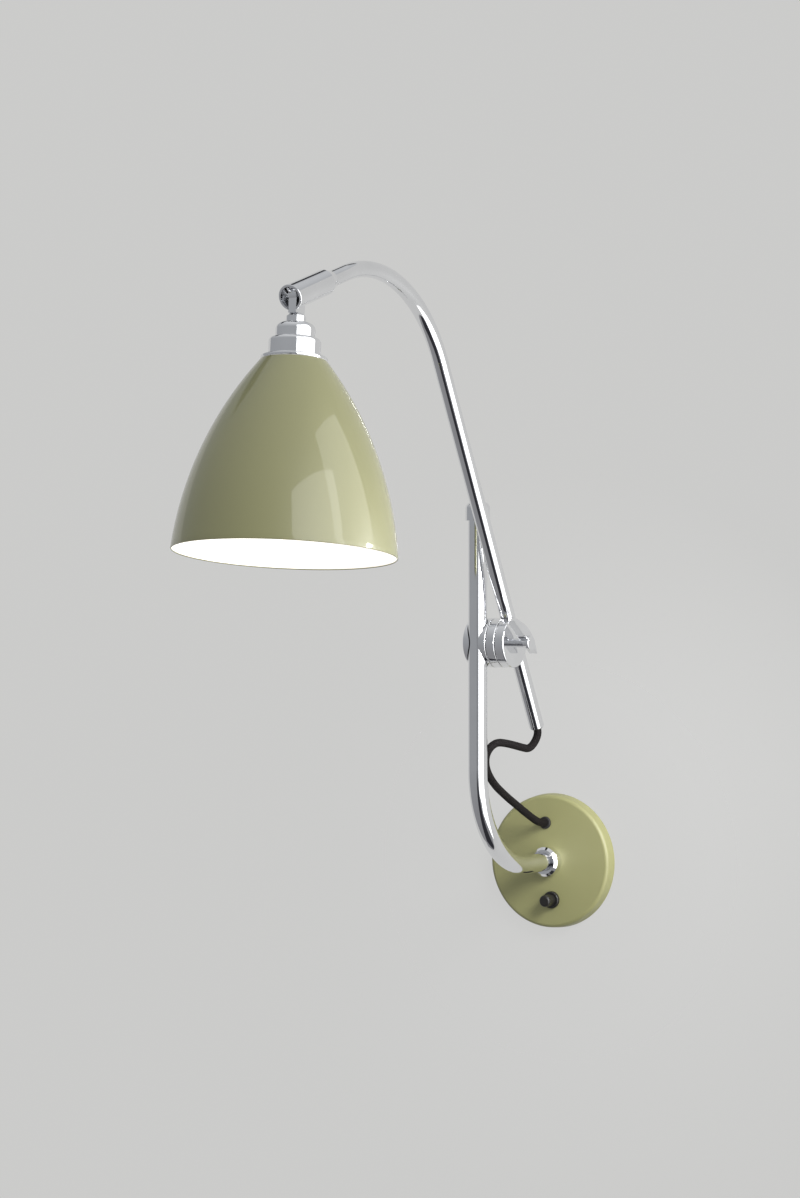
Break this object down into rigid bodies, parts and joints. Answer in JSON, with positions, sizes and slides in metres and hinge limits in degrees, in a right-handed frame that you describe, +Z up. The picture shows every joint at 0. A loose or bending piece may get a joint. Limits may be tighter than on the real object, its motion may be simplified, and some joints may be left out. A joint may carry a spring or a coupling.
{
  "type": "task wall light",
  "caption": "Wall light with a round painted plate, a bent chrome support tube, a sliding clamp, a hooked arm that tilts and slides, and a hinged dome shade.",
  "frame": {"origin": "centre of the wall plate's back, between the two wall screws, on the wall", "axes": "+Z up, +Y into the wall, +X to the right of someone facing the wall"},
  "size_m": [0.1571, 0.515, 0.5137],
  "materials": {
    "green_paint": "glossy sage green enamel, white inside the shade",
    "chrome": "polished chrome plate",
    "plain_steel": "zinc plated steel",
    "black_plastic": "black moulded plastic",
    "black_cord": "smooth black flex",
    "pale_plastic": "natural nylon",
    "lead_cover": "plain lead insulation",
    "brass": "plain brass",
    "bulb_glass": "opal glass"
  },
  "bodies": {
    "base": {"wall_bracket": "plain_steel", "wall_plate": "green_paint", "plate_set_screw": "plain_steel", "earth_screw": "plain_steel", "support_tube": "chrome", "tube_collar": "chrome", "tube_washer": "plain_steel", "tube_lock_nut": "plain_steel", "tube_cap": "chrome", "cord_grommet": "black_plastic", "flex_tail": "black_cord", "cord_stop": "black_plastic", "terminal_block": "pale_plastic", "terminal_screws": "plain_steel", "supply_leads": "lead_cover", "switch_leads": "lead_cover", "switch_body": "black_plastic", "switch_bezel": "black_plastic", "cord_plate_end": "black_cord"},
    "button": {"switch_button": "black_plastic"},
    "tube_slider": {"tube_liner": "pale_plastic", "cord_rise": "black_cord"},
    "tube_clamp": {"tube_jaw_outer": "chrome", "tube_jaw_inner": "chrome", "clamp_nut": "plain_steel", "friction_washer": "pale_plastic", "cord_bend": "black_cord"},
    "arm_clamp": {"arm_jaw_inner": "chrome", "arm_jaw_outer": "chrome", "cord_loop": "black_cord"},
    "arm_turner": {"arm_liner": "pale_plastic", "cord_arm_end": "black_cord"},
    "arm": {"arm_tube": "chrome", "arm_bush": "black_plastic", "arm_flex": "black_cord"},
    "wing_screw": {"clamp_screw": "chrome", "wing": "chrome"},
    "knuckle": {"knuckle_sleeve": "chrome", "pivot_pin": "chrome", "swivel_screw": "plain_steel"},
    "head": {"stem": "chrome", "gallery": "chrome", "gallery_nut": "plain_steel", "flange_ring": "chrome", "shade": "green_paint", "lampholder": "black_plastic", "shade_ring": "black_plastic", "head_flex": "black_cord", "bulb_cap": "brass", "bulb_glass": "bulb_glass"}
  },
  "joints": [
    {"name": "clamp_height", "type": "slide", "parent": "base", "child": "tube_slider", "axis": [0, 0, 1], "range_m": [-0.078, 0.075], "deforming": ["cord_plate_end"]},
    {"name": "clamp_swivel", "type": "hinge", "parent": "tube_slider", "child": "tube_clamp", "pos_m": [0, -0.128, 0.18], "axis": [0, 0, 1], "range_deg": [-90, 90], "deforming": ["cord_rise"]},
    {"name": "arm_tilt", "type": "hinge", "parent": "tube_clamp", "child": "arm_clamp", "pos_m": [0, -0.1156, 0.18], "axis": [1, 0, 0], "range_deg": [-33, 45], "deforming": ["cord_bend"]},
    {"name": "arm_turn", "type": "hinge", "parent": "arm_clamp", "child": "arm_turner", "pos_m": [0.0183, -0.10479, 0.18587], "axis": [0, -0.4772, 0.8788], "range_deg": [-60, 60], "deforming": ["cord_loop"]},
    {"name": "arm_slide", "type": "slide", "parent": "arm_turner", "child": "arm", "axis": [0, -0.4772, 0.8788], "range_m": [-0.08, 0.055], "deforming": ["cord_arm_end"]},
    {"name": "head_swivel", "type": "hinge", "parent": "arm", "child": "knuckle", "pos_m": [0.0183, -0.41444, 0.42598], "axis": [0, -0.9483, -0.3173], "range_deg": [-90, 90]},
    {"name": "shade_tilt", "type": "hinge", "parent": "knuckle", "child": "head", "pos_m": [0.0183, -0.41444, 0.42598], "axis": [0.9997, -0.0078, 0.0232], "range_deg": [-60, 40]},
    {"name": "wing_turn", "type": "hinge", "parent": "tube_clamp", "child": "wing_screw", "pos_m": [0, -0.1156, 0.18], "axis": [1, 0, 0], "range_deg": [0, 270]},
    {"name": "switch_press", "type": "slide", "parent": "base", "child": "button", "axis": [0, 1, 0], "range_m": [0, 0.003], "stiffness_N_per_m": 600}
  ]
}
